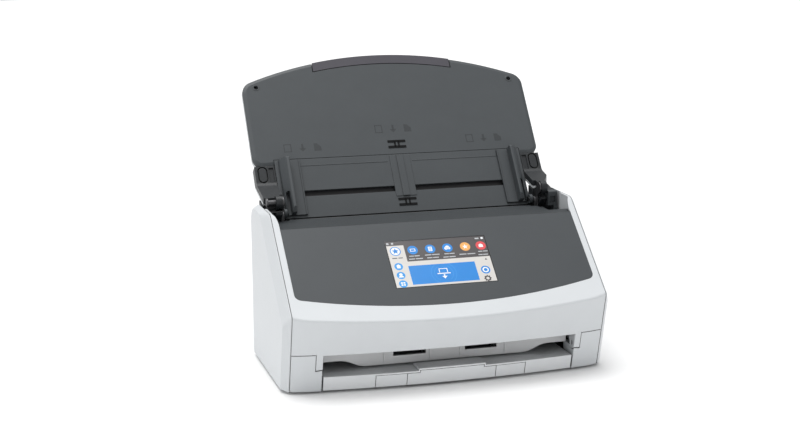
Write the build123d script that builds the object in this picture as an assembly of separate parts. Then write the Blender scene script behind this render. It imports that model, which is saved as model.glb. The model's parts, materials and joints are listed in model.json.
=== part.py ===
from build123d import *

# Sheet fed document scanner, opened ready for use.
#
# X runs to the right, Y to the rear and Z up. The scanner stands on Z = 0 on its four rubber feet.
# Paper leaves the input chute, goes down the slanted feed path and comes out at the front on the
# stacker. The outlines below use the case's own Y, with the origin near the middle of the case,
# and every piece is moved by ORIGIN_Y when it is written, so that X = Y = 0 is the middle of the
# opened scanner's floor area.

import os
from math import acos, asin, cos, degrees, pi, radians, sin, sqrt

# ---------------------------------------------------------------- driving dimensions, mm
CASE_HALF = 148.6  # half of the width over the side covers
SEAM_X = 142.0  # where the side covers meet the front and rear covers
SEAM_GAP = 0.5
CASE_BOTTOM = 2.0  # underside of the case, above the feet
REAR_Y = 69.0
SHOULDER_Z = 144.3  # flat top of the side covers
FRONT_BOTTOM_Y = -60.0  # front face at the seam, at the case's underside
FRONT_LEAN = 0.258  # forward travel of the front face for each mm of height
NOSE_Y, NOSE_Z = -78.0, 71.8  # the seam's foremost point, where the slope starts
SLOPE_DEG = 40.5
BOW_RADIUS = 1000.0  # the front is bowed forward in plan
BOW_HALF = 126.0
CORNER_RADIUS = 70.0
COVER_SPLIT_Z = 37.0  # the front cover meets the posts here
COVER_LOW_Z = 36.0  # its lower edge over the exit
ORIGIN_Y = 37.99

CHUTE_DEG = 53.3  # slope of the paper plane, above the horizontal
INLET_Y, INLET_Z = 53.8, 129.4  # where the paper plane meets the feed deck
PAPER_GAP = 3.0
PATH_STRAIGHT = 88.0  # straight length of the feed path below the inlet
PATH_RADIUS = 65.0
EXIT_DIP_DEG = 5.0  # the paper leaves this far below the horizontal
LIP_Y = -52.0

COVER_HINGE_Y, COVER_HINGE_Z = -66.0, 26.0  # the front cover turns here
EAR_LOW_Z, EAR_R = 23.2, 5.3  # underside and hub radius of the front cover's ears
EAR_PIN_R = 2.0
CHUTE_HINGE_Y, CHUTE_HINGE_Z = 41.0, 148.0  # the chute cover turns here
CHUTE_TRAVEL_DEG = 167.2
FOLD_S, FOLD_N = 3.15, 5.8  # the lower chute's hinge, along and above the paper plane

PANEL_HALF = 136.3  # dark control panel on the slope
PANEL_LENGTH = 94.0
TROUGH_HALF = 139.8  # the feed deck behind the panel's bend is this wide
SCREEN_HALF, SCREEN_LOW, SCREEN_HIGH = 46.7, 22.5, 73.7
DECK_THICK = 2.2

SHELL_HALF = 140.9  # chute cover's white shell
SHELL_DEPTH = 11.3
SHELL_WALL = 2.2
PLATE_DEPTH = 3.6  # the dark plate covers this much of the edge
TOP_S, TOP_RADIUS = 171.2, 360.0  # middle of the chute cover's curved top edge
CHUTE_LENGTH = 61.0
CHUTE_HALF = 121.0
ARM_IN, ARM_OUT = 121.6, 140.4
LUG_IN, LUG_OUT = 124.8, 130.4  # the hinge arm's lug turns on the pin
ARM_END_Y = 46.0  # the arm beside its lug starts here
HANDLE_HALF, HANDLE_DEPTH = 69.3, 9.4

GUIDE_IN, FENCE_X, GUIDE_OUT = 97.5, 108.5, 117.3
GUIDE_TRAVEL = 83.0
FENCE_HEIGHT = 11.0
SLOT_LOW, SLOT_HIGH = 22.0, 28.0
PINION_TEETH, PINION_MODULE = 10, 1.0
PINION_S = 25.0

STACKER_HALF, MIDDLE_HALF, TIP_HALF, TAB_HALF = 114.0, 68.3, 40.4, 29.0
STACKER_TOP = 15.3
TAB_RISE = 2.2
TRAY_GAP = 0.55

FEED_S, PICK_S = -36.0, -13.0  # roller places along the path
FEED_R, PICK_R, EXIT_R, PINCH_R, BRAKE_R = 10.0, 9.0, 8.0, 5.0, 9.0
SHAFT_R = 3.0
PIN_R = 2.5  # chute cover's hinge pins
PULLEY_R, BELT_THICK = 6.0, 1.2

OUT = Pos(0, -ORIGIN_Y, 0)


# ---------------------------------------------------------------- helpers
def outline(points, rounds=()):
    """A flat face through the points, with the listed corners (index, radius) rounded."""
    face = make_face(Polyline(*points, close=True))
    for index, radius in rounds:
        x, y = points[index]
        corner = min(face.vertices(), key=lambda v: (v.X - x) ** 2 + (v.Y - y) ** 2)
        face = fillet(corner, radius)
    return face


def along_x(face, low, high):
    """A (Y, Z) outline stood up and drawn from X = low to X = high."""
    return extrude(Plane.YZ.offset(low) * face, amount=high - low)


def both_sides(solid):
    """The solid and its mirror image on the other side of X = 0."""
    return Compound([*solid.solids(), *mirror(solid, about=Plane.YZ).solids()])


def block(x0, x1, y0, y1, z0, z1):
    return Pos((x0 + x1) / 2, (y0 + y1) / 2, (z0 + z1) / 2) * Box(x1 - x0, y1 - y0, z1 - z0)


def rod(y, z, radius, x0, x1):
    """A round bar along X."""
    return Pos((x0 + x1) / 2, y, z) * Rot(0, 90, 0) * Cylinder(radius, x1 - x0)


ALONG = (cos(radians(CHUTE_DEG)), sin(radians(CHUTE_DEG)))
CHUTE = Plane(
    origin=(0, INLET_Y, INLET_Z), x_dir=(1, 0, 0), z_dir=(0, -ALONG[1], ALONG[0])
)
UPHILL = (cos(radians(SLOPE_DEG)), sin(radians(SLOPE_DEG)))
SLOPE = Plane(origin=(0, NOSE_Y, NOSE_Z), x_dir=(1, 0, 0), z_dir=(0, -UPHILL[1], UPHILL[0]))


def chute_yz(s, n):
    """(Y, Z) of a point s along the paper plane and n in front of it."""
    return (INLET_Y + s * ALONG[0] - n * ALONG[1], INLET_Z + s * ALONG[1] + n * ALONG[0])


def slope_yz(t, h):
    """(Y, Z) of a point t up the control panel's slope and h above it."""
    return (NOSE_Y + t * UPHILL[0] - h * UPHILL[1], NOSE_Z + t * UPHILL[1] + h * UPHILL[0])


def opened(point):
    """Where a (Y, Z) point of the closed chute cover stands when the cover is open."""
    turn = radians(-CHUTE_TRAVEL_DEG)
    y, z = point[0] - CHUTE_HINGE_Y, point[1] - CHUTE_HINGE_Z
    return (
        CHUTE_HINGE_Y + y * cos(turn) - z * sin(turn),
        CHUTE_HINGE_Z + y * sin(turn) + z * cos(turn),
    )


# ---------------------------------------------------------------- the bowed, leaning front
def front_region(inset=0.0, half=SEAM_X):
    """The space behind the front face: bowed in plan, and leaning forward as it rises."""
    reach = BOW_RADIUS - sqrt(BOW_RADIUS**2 - BOW_HALF**2)
    start = asin(BOW_HALF / BOW_RADIUS)
    finish = asin(sin(start) + (SEAM_X - BOW_HALF) / CORNER_RADIUS)
    drop = CORNER_RADIUS * (cos(start) - cos(finish))
    middle = (start + finish) / 2
    base = -10.0
    seam_y = FRONT_BOTTOM_Y - FRONT_LEAN * (base - CASE_BOTTOM) + inset
    centre_x = BOW_HALF - CORNER_RADIUS * sin(start)
    centre_y = seam_y + CORNER_RADIUS * cos(finish)
    knee = (BOW_HALF, seam_y - drop)
    turn = (centre_x + CORNER_RADIUS * sin(middle), centre_y - CORNER_RADIUS * cos(middle))
    end = (SEAM_X, seam_y)
    far = 220.0
    edges = [
        ThreePointArc((-knee[0], knee[1]), (0, knee[1] - reach), knee),
        ThreePointArc(knee, turn, end),
        Line(end, (SEAM_X, far)),
        Line((SEAM_X, far), (-SEAM_X, far)),
        Line((-SEAM_X, far), (-SEAM_X, seam_y)),
        ThreePointArc((-SEAM_X, seam_y), (-turn[0], turn[1]), (-knee[0], knee[1])),
    ]
    face = Pos(0, 0, base) * make_face(edges)
    region = extrude(face, amount=175, dir=(0, -FRONT_LEAN, 1))
    if half < SEAM_X:
        region = region & block(-half, half, -150, 250, -20, 200)
    return region


FRONT = front_region()


# ---------------------------------------------------------------- the paper path
def path_strip(n_low, n_high, s_top, y_end):
    """The (Y, Z) outline between two surfaces that follow the paper path."""
    bend = radians(CHUTE_DEG)
    dip = radians(EXIT_DIP_DEG)
    start = chute_yz(-PATH_STRAIGHT, 0)
    centre = (start[0] - PATH_RADIUS * sin(bend), start[1] + PATH_RADIUS * cos(bend))

    def curve(n):
        radius = PATH_RADIUS - n
        halfway = (bend + dip) / 2
        points = [
            (centre[0] + radius * sin(a), centre[1] - radius * cos(a)) for a in (bend, halfway, dip)
        ]
        run = points[2][0] - y_end
        last = (y_end, points[2][1] - run * sin(dip) / cos(dip))
        return chute_yz(s_top, n), points, last

    top_a, arc_a, end_a = curve(n_low)
    top_b, arc_b, end_b = curve(n_high)
    edges = [
        Line(top_a, arc_a[0]),
        ThreePointArc(*arc_a),
        Line(arc_a[2], end_a),
        Line(end_a, end_b),
        Line(end_b, arc_b[2]),
        ThreePointArc(*reversed(arc_b)),
        Line(arc_b[0], top_b),
        Line(top_b, top_a),
    ]
    return make_face(edges)


def path_point(angle_deg, n):
    """(Y, Z) on the path's bend, where the paper dips by angle_deg, n above the lower surface."""
    bend = radians(CHUTE_DEG)
    start = chute_yz(-PATH_STRAIGHT, 0)
    centre = (start[0] - PATH_RADIUS * sin(bend), start[1] + PATH_RADIUS * cos(bend))
    angle = radians(angle_deg)
    radius = PATH_RADIUS - n
    return (centre[0] + radius * sin(angle), centre[1] - radius * cos(angle))


NIP_DEG = 14.0
FEED_AT = chute_yz(FEED_S, 0.4 - FEED_R)
PICK_AT = chute_yz(PICK_S, 0.4 - PICK_R)
BRAKE_AT = chute_yz(FEED_S, 0.7 + BRAKE_R)
EXIT_AT = path_point(NIP_DEG, 0.4 - EXIT_R)
PINCH_AT = path_point(NIP_DEG, 0.7 + PINCH_R)
MOTOR_AT = (36.0, 44.0)
EXIT_ROLLS = ((-48.0, -18.0), (18.0, 48.0))
FEED_ROLLS = ((-27.0, -7.0), (7.0, 27.0))


def roller_windows(at, radius, rolls, slack=1.2):
    """Cutters that let rollers through a guide plate."""
    return [rod(at[0], at[1], radius + slack, a - slack, b + slack) for a, b in rolls]


# ---------------------------------------------------------------- base and covers
SCREW_AT = ((-128, -25), (128, -25), (-128, 32), (128, 32))
HOUSING_REAR = 62.0


def base_pan():
    floor = block(-141.6, 141.6, -60.0, 66.0, CASE_BOTTOM, 4.2)
    floor = floor & FRONT
    rails = both_sides(block(114.4, 115.2, -50, 45, 4.2, 13.0))
    stop = block(-112, 112, 47, 49, 4.2, 13.0)
    posts = [Pos(x, y, 8.6) * Cylinder(3.6, 9.2) for x, y in SCREW_AT]
    board_feet = [block(x - 4, x + 4, 54.6, 56.9, 4, 20) for x in (-90, 40)]
    pan = floor + rails.solids() + [stop] + posts + board_feet
    for x in (-54, -42, -30, -18, 6, 18, 30, 42, 54):
        pan -= block(x - 3, x + 3, 52, 64, 0, 5)
    for x, y in SCREW_AT:
        pan -= Pos(x, y, 0) * Cylinder(3.05, 2 * CASE_BOTTOM + 3.2)
        pan -= Pos(x, y, 8) * Cylinder(1.45, 12)
    return pan


def rubber_feet():
    feet = [
        Pos(x, y, CASE_BOTTOM / 2) * Cylinder(7, CASE_BOTTOM)
        for x in (-124, 124)
        for y in (-42, 54)
    ]
    return Compound([fillet(f.edges().group_by(Axis.Z)[0], 0.6).solid() for f in feet])


def side_outline(slope_in=0.0, front_in=0.0, top_in=0.0, rear_in=0.0):
    """The side cover's (Y, Z) outline, drawn in from each edge by its own amount."""
    bottom = CASE_BOTTOM + (0.0 if rear_in == 0 else 1.0)
    front_low = FRONT_BOTTOM_Y + front_in - FRONT_LEAN * (bottom - CASE_BOTTOM)
    nose = slope_yz(0, -slope_in)
    lean_y = FRONT_BOTTOM_Y + front_in - FRONT_LEAN * (nose[1] - CASE_BOTTOM)
    # the front line and the lowered slope line meet here
    rise = UPHILL[1] / UPHILL[0]
    step = (lean_y - nose[0]) / (1 + FRONT_LEAN * rise)
    corner = (nose[0] + step, nose[1] + step * rise)
    top = SHOULDER_Z - top_in
    bend_y = nose[0] + (top - nose[1]) / rise
    rear = REAR_Y - rear_in
    points = [(front_low, bottom), corner, (bend_y, top), (rear, top), (rear, bottom)]
    return outline(points, [(3, 15.0), (2, 14.0), (1, 3.0), (4, 3.0)])


def side_cover():
    """The right side cover: a plate with long bevels towards the slope, front and rear."""
    inner = Plane.YZ.offset(SEAM_X + SEAM_GAP) * side_outline()
    middle = Plane.YZ.offset(SEAM_X + 1.3) * side_outline()
    outer = Plane.YZ.offset(CASE_HALF) * side_outline(13.0, 8.0, 2.6, 3.5)
    plate = extrude(inner, amount=1.3 - SEAM_GAP)
    bevel = loft([middle.face(), outer.face()], ruled=True)
    cover = plate + bevel
    ribs = [
        block(SEAM_X - 1.6, SEAM_X + 0.6, y, y + 1.6, 12, 40) for y in (-30, 0, 40)
    ]
    return cover + ribs


def front_post():
    """The right front post, which carries the front cover's hinge pin."""
    top = COVER_SPLIT_Z - 0.6
    step_top = EAR_LOW_Z - 0.4
    tall = block(121.4, SEAM_X, -120, -41.4, CASE_BOTTOM + 2.3, top)
    foot = block(121.4, SEAM_X, -120, -60.4, CASE_BOTTOM, CASE_BOTTOM + 2.4)
    step = block(115.5, 121.5, -120, -46, CASE_BOTTOM + 2.3, step_top)
    step_foot = block(115.5, 121.5, -120, -60.4, CASE_BOTTOM, CASE_BOTTOM + 2.4)
    post = (tall + foot + step + step_foot) & FRONT
    post -= block(124, 139.5, -56, -43.5, 6, 33)
    # the cover's ear turns in this round clearance
    post -= rod(COVER_HINGE_Y, COVER_HINGE_Z, EAR_R + 0.7, 115.0, 121.4)
    return post - rod(COVER_HINGE_Y, COVER_HINGE_Z, EAR_PIN_R + 0.02, 121, 130)


def cover_hinge_pins():
    pin = rod(COVER_HINGE_Y, COVER_HINGE_Z, EAR_PIN_R, 115.4, 129.9)
    return both_sides(pin)


def rear_cover():
    """The rear wall, the two shoulders behind the hinges and the slanted edge between them."""
    wall = block(-141.6, 141.6, 66.2, REAR_Y, 4.4, 136.0)
    chute_back = [chute_yz(-3, -8.2), chute_yz(22, -8.2)]
    shoulder = outline(
        [(51, 122), (51, 143.0), (REAR_Y, 143.0), (REAR_Y, 110), (66, 110), (66, 122)],
        [(2, 14.0)],
    )
    inner = outline(
        [(53, 121), (53, 140.8), (66.4, 140.8), (66.4, 121)],
        [(2, 10.0)],
    )
    shoulders = along_x(shoulder, 123.3, 141.6) - along_x(inner, 125.5, 139.4)
    # the hinge housings close the front of the shoulders
    shoulders -= block(120, 145, 45, HOUSING_REAR + 0.3, 118, 150)
    cover = wall + both_sides(shoulders).solids()
    # the rear wall's middle is cut back behind the lower chute
    slant = outline([chute_back[0], chute_back[1], (90, 160), (90, 170), (30, 170), (30, 121)])
    cover -= along_x(slant, -123.2, 123.2)
    ledge_y = INLET_Y + 8.0
    ledge = along_x(
        outline([(ledge_y, 117), (ledge_y, 121.5), (REAR_Y - 0.5, 129), (REAR_Y - 0.5, 117)]),
        -120.8,
        120.8,
    )
    cover += ledge
    for x in range(-60, 61, 10):
        cover -= block(x - 1.7, x + 1.7, 60, 75, 84, 108)
    cover -= block(-112, -98, 60, 75, 14, 26)  # power inlet opening
    cover -= block(-86, -72.5, 60, 75, 14, 26)  # data socket opening
    lock = block(112, 119, 60, 75, 30, 33)
    return cover - lock


def lower_guide():
    """The body's half of the paper path, with windows for its rollers and the scan glass."""
    guide = along_x(path_strip(-2.5, 0.0, -0.8, LIP_Y), -114.9, 114.9)
    for cutter in (
        roller_windows(PICK_AT, PICK_R, FEED_ROLLS)
        + roller_windows(FEED_AT, FEED_R, FEED_ROLLS)
        + roller_windows(EXIT_AT, EXIT_R, EXIT_ROLLS)
    ):
        guide -= cutter
    # the exit rollers' windows run on to the lip
    for start, end in EXIT_ROLLS:
        guide -= block(start - 1.2, end + 1.2, LIP_Y - 1, EXIT_AT[0], 28, 36)
    window = CHUTE * block(-110.5, 110.5, -70, -56, -6, 2)
    return guide - window


def exit_guide():
    """The wall below the exit. Its lower edge dips in the middle and rises at both sides."""
    low, high, top = 17.4, 24.0, 31.9
    middle_half, side_half, half = 72.0, 97.0, 114.2
    front_y = LIP_Y - 2.4
    edge = [
        Line((-middle_half, low), (middle_half, low)),
        Spline((middle_half, low), (side_half, high), tangents=((1, 0), (1, 0))),
        Line((side_half, high), (half, high)),
        Line((half, high), (half, top)),
        Line((half, top), (-half, top)),
        Line((-half, top), (-half, high)),
        Line((-half, high), (-side_half, high)),
        Spline((-side_half, high), (-middle_half, low), tangents=((1, 0), (1, 0))),
    ]
    upright = Plane(origin=(0, front_y + 2.2, 0), x_dir=(1, 0, 0), z_dir=(0, -1, 0))
    wall = extrude(upright * make_face(edge), 2.2)
    for x in (-56, -14, 14, 56):
        wall += block(x - 1, x + 1, front_y - 1.2, front_y + 0.1, low + 2, top)
    for start, end in EXIT_ROLLS:
        wall -= block(start, end, front_y - 2, LIP_Y + 1, 24.4, top + 1)
    return wall


def side_frame():
    """The right metal frame plate, which carries the shafts and the lower chute's pivot."""
    pivot = chute_yz(FOLD_S, FOLD_N)
    points = [
        (-40.8, 6), (-40.8, 30), (-20, 44), (8, 74), (30, 104), (45.4, 128),
        (45.4, 138), (56.5, 138), (60, 128), (60, 6),
    ]
    plate = along_x(outline(points, [(6, 4.5), (7, 5.0)]), 121.4, 123.0)
    for at in (PICK_AT, FEED_AT, EXIT_AT):
        plate -= rod(at[0], at[1], 4.6, 121, 124)
    plate -= rod(MOTOR_AT[0], MOTOR_AT[1], 2.4, 121, 124)
    pin = rod(pivot[0], pivot[1], 2.0, 117.5, 121.6)
    return plate + pin


def roller_bearings():
    """Plain bearing rings in both frames, one for each driven shaft."""
    rings = []
    for at in (PICK_AT, FEED_AT, EXIT_AT):
        for x in (-123.2, 121.2):
            ring = rod(at[0], at[1], 4.6, x, x + 2.0)
            bore = rod(at[0], at[1], SHAFT_R + 0.05, x - 1, x + 3)
            rings.append((ring - bore).solid())
    return Compound(rings)


def hinge_brackets():
    """The metal brackets and pins that hold the chute cover's arms. The left one is forked."""
    y, z = CHUTE_HINGE_Y, CHUTE_HINGE_Z
    inner, thick = 123.1, 1.4
    stem = [(46.2, 148), (50.4, 143), (50.4, 121.6), (43.4, 121.6), (43.4, 139), (36, 146.5)]
    right = along_x(outline(stem), inner, inner + thick) + rod(y, z, 5.2, inner, inner + thick)
    right += block(inner, 131.6, 45.6, 50.4, 121.6, 123.6)
    left = mirror(right, about=Plane.YZ)
    right += rod(y, z, PIN_R, inner, LUG_OUT)
    fork = 139.0
    left += rod(y, z, PIN_R, -fork, -inner)
    left += block(-fork, -inner, y - 2.6, 44.2, 139.2, 140.3)
    left += block(-fork, thick - fork, y - 2.6, y + 2.6, 139.2, z)
    left += rod(y, z, 4.2, -fork, thick - fork)
    return Compound([right.solid(), left.solid()])


def hinge_housings():
    """The dark blocks under and behind the hinges, below the opened arms."""
    low_y, low_z = opened(arm_profile()[0])
    far_y, far_z = opened(arm_profile()[1])
    slope = (far_z - low_z) / (far_y - low_y)

    def roof(y):
        return low_z + (y - low_y) * slope - 0.9

    front, middle = 47.8, 51.0
    fore = outline([(front, 124.2), (middle, 124.2), (middle, roof(middle)), (front, roof(front))])
    far = HOUSING_REAR
    rear = outline([(middle, 122), (far, 122), (far, roof(far)), (middle, roof(middle))])
    housing = along_x(fore, 125.0, 141.3) + along_x(rear, 123.3, 141.3)
    # a fin closes the gap beside the lower chute
    fin = outline([(51.5, 138.4), (far, 138.4), (far, roof(far)), (51.5, roof(51.5))])
    housing += along_x(fin, 121.3, 123.4)
    post = block(LUG_IN, LUG_OUT, 37.5, front + 0.1, 126, 138.9)
    # the front cover's deck swings past this face
    post -= rod(COVER_HINGE_Y, COVER_HINGE_Z, 151.8, 110, 150)
    return both_sides((housing + post).solid())


def lower_scan_unit():
    unit = CHUTE * block(-109.5, 109.5, -69.2, -56.8, -15, -1.3)
    return unit - CHUTE * block(-108, 108, -66, -60, -12, -1)


def lower_scan_glass():
    return CHUTE * block(-109.5, 109.5, -69.2, -56.8, -1.3, -0.1)


def upper_scan_unit():
    n = PAPER_GAP
    unit = CHUTE * block(-109.5, 109.5, -67.2, -54.8, n + 1.3, n + 15)
    return unit - CHUTE * block(-108, 108, -64, -58, n + 1, n + 12)


def upper_scan_glass():
    return CHUTE * block(-109.5, 109.5, -67.2, -54.8, PAPER_GAP + 0.1, PAPER_GAP + 1.3)


def main_board():
    board = block(-112, 60, 57.0, 58.6, 12, 82)
    return board


def board_parts():
    """Chips, capacitors and the ribbon connector on the main board."""
    chips = [block(x, x + 16, 54.8, 57.0, z, z + 16) for x, z in ((-60, 40), (-30, 52), (10, 36))]
    caps = [Pos(x, 52.5, 26) * Rot(90, 0, 0) * Cylinder(3.2, 9) for x in (-40, -30, -20)]
    link = block(30, 54, 53, 57, 70, 76)
    return Compound([s.solid() for s in chips + caps + [link]])


def power_inlet():
    """The low voltage inlet: a square housing with a round socket and its centre contact."""
    body = block(-111.6, -98.4, 58.7, REAR_Y - 1.2, 14.4, 25.6)
    socket = Pos(-105, 64.8, 20) * Rot(90, 0, 0) * Cylinder(3.2, 8)
    contact = Pos(-105, 60.8, 20) * Rot(90, 0, 0) * Cylinder(0.9, 4)
    return body - socket + contact


def data_socket():
    body = block(-85.6, -72.9, 58.7, REAR_Y - 1.2, 14.4, 25.6)
    mouth = block(-83.6, -74.9, 61, REAR_Y, 16.2, 23.8)
    tongue = block(-81.6, -76.9, 60, 63, 18.8, 21.2)
    return body - mouth + tongue


def motor():
    can = rod(MOTOR_AT[0], MOTOR_AT[1], 16, -118, -84)
    boss = rod(MOTOR_AT[0], MOTOR_AT[1], 6, -120.6, -118)
    y, z = MOTOR_AT
    ears = block(-119.6, -118, y - 4, y + 4, z - 21, z + 20)
    body = can + boss + ears
    return body - rod(y, z, 2.05, -121.5, -100)


BELT_AT = ((-128.0, MOTOR_AT, FEED_AT), (-132.0, FEED_AT, PICK_AT), (-136.0, FEED_AT, EXIT_AT))
BELT_WIDTH = 3.0


def drive_belts():
    """Three closed belts: motor to feed, feed to pick and feed to exit."""
    belts = []
    for x, first, second in BELT_AT:
        dy, dz = second[0] - first[0], second[1] - first[1]
        reach = sqrt(dy**2 + dz**2)
        turn = acos(dy / reach) * (1 if dz >= 0 else -1)
        middle = ((first[0] + second[0]) / 2, (first[1] + second[1]) / 2)
        inner = PULLEY_R + 0.3
        outer = inner + BELT_THICK
        ring = SlotOverall(reach + 2 * outer, 2 * outer)
        ring -= SlotOverall(reach + 2 * inner, 2 * inner)
        placed = Pos(*middle) * Rot(0, 0, degrees(turn)) * ring
        belts.append(along_x(placed, x, x + BELT_WIDTH).solid())
    return Compound(belts)


def pulley(at, x):
    """A smooth pulley with a flange each side of its belt."""
    body = rod(at[0], at[1], PULLEY_R, x - 0.3, x + BELT_WIDTH + 0.3)
    rims = [
        rod(at[0], at[1], PULLEY_R + 1.4, x - 0.7, x - 0.25),
        rod(at[0], at[1], PULLEY_R + 1.4, x + BELT_WIDTH + 0.25, x + BELT_WIDTH + 0.7),
    ]
    return body + rims


def motor_pulley():
    shaft = rod(MOTOR_AT[0], MOTOR_AT[1], 2.0, -129, -101)
    return shaft + pulley(MOTOR_AT, BELT_AT[0][0])


def driven_shaft(at, pulleys):
    """A roller shaft that ends at its outermost pulley."""
    start = min(pulleys) - 0.7
    shaft = rod(at[0], at[1], SHAFT_R, start, 124.5)
    for x in pulleys:
        shaft += pulley(at, x)
    return shaft


def roller_tyres(at, radius, rolls):
    tyres = []
    for a, b in rolls:
        tyre = rod(at[0], at[1], radius, a, b) - rod(at[0], at[1], SHAFT_R, a - 1, b + 1)
        last_edge = tyre.edges().filter_by(GeomType.CIRCLE).sort_by(Axis.X)[-1]
        tyres.append(chamfer(last_edge, 0.5).solid())
    return Compound(tyres)


def pinch_tyres():
    tyres = []
    for a, b in EXIT_ROLLS:
        tyre = rod(PINCH_AT[0], PINCH_AT[1], PINCH_R, a, b)
        tyres.append((tyre - rod(PINCH_AT[0], PINCH_AT[1], 2.0, a - 1, b + 1)).solid())
    return Compound(tyres)


def case_screws():
    """Cross head screws that close the case from below."""
    screws = []
    for x, y in SCREW_AT:
        head = Pos(x, y, CASE_BOTTOM + 0.8) * Cylinder(3.0, 1.5)
        shank = Pos(x, y, 7.2) * Cylinder(1.4, 9.6)
        slot = Pos(x, y, CASE_BOTTOM) * (Box(3.4, 0.7, 1.2) + Box(0.7, 3.4, 1.2))
        screws.append((head + shank - slot).solid())
    return Compound(screws)


# ---------------------------------------------------------------- front cover
def panel_outline(inset=0.0):
    """The control panel's outline on the slope: straight sides and a curved lower edge."""
    half = PANEL_HALF - inset
    low = 2.6 + inset
    radius = 580.0
    corner = 9.5
    side_x = half - corner
    drop = radius - sqrt(radius**2 - side_x**2)
    end = (side_x, low + drop)
    edges = [
        ThreePointArc((-end[0], end[1]), (0, low), end),
        Line(end, (half, end[1] + 2.2)),
        Line((half, end[1] + 2.2), (half, PANEL_LENGTH)),
        Line((half, PANEL_LENGTH), (-half, PANEL_LENGTH)),
        Line((-half, PANEL_LENGTH), (-half, end[1] + 2.2)),
        Line((-half, end[1] + 2.2), (-end[0], end[1])),
    ]
    face = make_face(edges)
    tips = [v for v in face.vertices() if v.Y < PANEL_LENGTH - 1 and abs(v.X) > side_x + 1]
    face = fillet(tips, corner - 3)
    return face


DECK_FRONT = slope_yz(PANEL_LENGTH, 0)
DECK_REAR = (INLET_Y - 6.0, INLET_Z + 0.3)
RIM_REAR = 33.0
RIM_REAR_RIGHT = 28.5


def trough_plan(slack=0.0):
    """The plan of the space above the feed deck, which widens behind the panel's bend."""
    half, wide = PANEL_HALF + slack, TROUGH_HALF + slack
    start_y, end_y, front_y, rear_y = -4.0, 8.0, -40.0, 70.0
    radius = ((wide - half) ** 2 + (end_y - start_y) ** 2) / (2 * (wide - half))
    middle = asin((end_y - start_y) / radius) / 2
    turn = (half + radius * (1 - cos(middle)), start_y + radius * sin(middle))
    edges = [
        Line((-half, front_y), (half, front_y)),
        Line((half, front_y), (half, start_y)),
        ThreePointArc((half, start_y), turn, (wide, end_y)),
        Line((wide, end_y), (wide, rear_y)),
        Line((wide, rear_y), (-wide, rear_y)),
        Line((-wide, rear_y), (-wide, end_y)),
        ThreePointArc((-wide, end_y), (-turn[0], turn[1]), (-half, start_y)),
        Line((-half, start_y), (-half, front_y)),
    ]
    return extrude(Pos(0, 0, 110) * make_face(edges), amount=60)


def front_cover_shell():
    """The white cover: bowed front, rims beside the panel and walls down both sides."""
    top_y = NOSE_Y + (SHOULDER_Z - NOSE_Z) * UPHILL[0] / UPHILL[1]
    ahead = -112.0
    low_z = NOSE_Z + (ahead - NOSE_Y) * UPHILL[1] / UPHILL[0]
    points = [
        (ahead, COVER_LOW_Z), (ahead, low_z), (top_y, SHOULDER_Z), (RIM_REAR, SHOULDER_Z),
        (RIM_REAR, 118), (-42, COVER_LOW_Z),
    ]
    mass = along_x(outline(points, [(2, 12.0)]), -SEAM_X, SEAM_X) & FRONT
    mass -= both_sides(block(120.9, 150, -150, 60, 30, COVER_SPLIT_Z)).solids()
    nose = [
        e for e in mass.edges()
        if e.center().Z < NOSE_Z + 1 and e.center().Z > 58 and abs(e.center().X) < SEAM_X - 2
    ]
    mass = fillet(nose, 2.5)
    wall = 2.6
    inner_points = [
        (ahead, COVER_LOW_Z - 5), slope_yz((ahead - NOSE_Y) / UPHILL[0], -DECK_THICK - 0.8),
        slope_yz(PANEL_LENGTH + 6, -DECK_THICK - 0.8), (RIM_REAR + 5, 127.5), (RIM_REAR + 5, 100),
        (-42, COVER_LOW_Z - 5),
    ]
    cavity = along_x(outline(inner_points), -SEAM_X + wall, SEAM_X - wall) & front_region(wall)
    shell = mass - cavity
    # recess for the panel, and the trough above the feed deck
    recess = SLOPE * extrude(panel_outline(-0.15), amount=8, both=True)
    y, z = DECK_FRONT
    trough = along_x(outline([(y - 3, z - 6), (y - 8, 160), (60, 160), (60, 120)]), -SEAM_X, SEAM_X)
    shell = shell - recess - (trough & trough_plan(0.15))
    shell -= block(PANEL_HALF - 1, SEAM_X + 1, RIM_REAR_RIGHT, 60, 100, 160)
    # a thin lip covers the joint with the posts, so the wall can swing out over them
    rebate = (block(115, 150, -150, -30, 30, COVER_SPLIT_Z + 2) & front_region(0.6)).solid()
    shell -= both_sides(rebate).solids()
    shell = sorted(shell.solids(), key=lambda s: s.volume)[-1]
    for ear in both_sides(cover_ear()).solids():
        shell += ear
    return shell


def cover_ear():
    """The front cover's right ear: flush with the front, with a hub on the hinge pin."""
    y, z = COVER_HINGE_Y, COVER_HINGE_Z
    points = [(-110, EAR_LOW_Z), (-110, 41), (y + 10, 41), (y + EAR_R, z), (y, EAR_LOW_Z)]
    ear = (along_x(outline(points), 115.2, 120.9) & FRONT) + rod(y, z, EAR_R, 115.2, 120.9)
    return (ear & FRONT) - rod(y, z, EAR_PIN_R + 0.05, 110, 125)


def control_panel():
    """The dark panel, with the screen's window."""
    plate = SLOPE * extrude(panel_outline(), amount=-DECK_THICK)
    window = SLOPE * block(
        -SCREEN_HALF - 0.1, SCREEN_HALF + 0.1, SCREEN_LOW - 0.1, SCREEN_HIGH + 0.1, -5, 5
    )
    return plate - window


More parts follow.
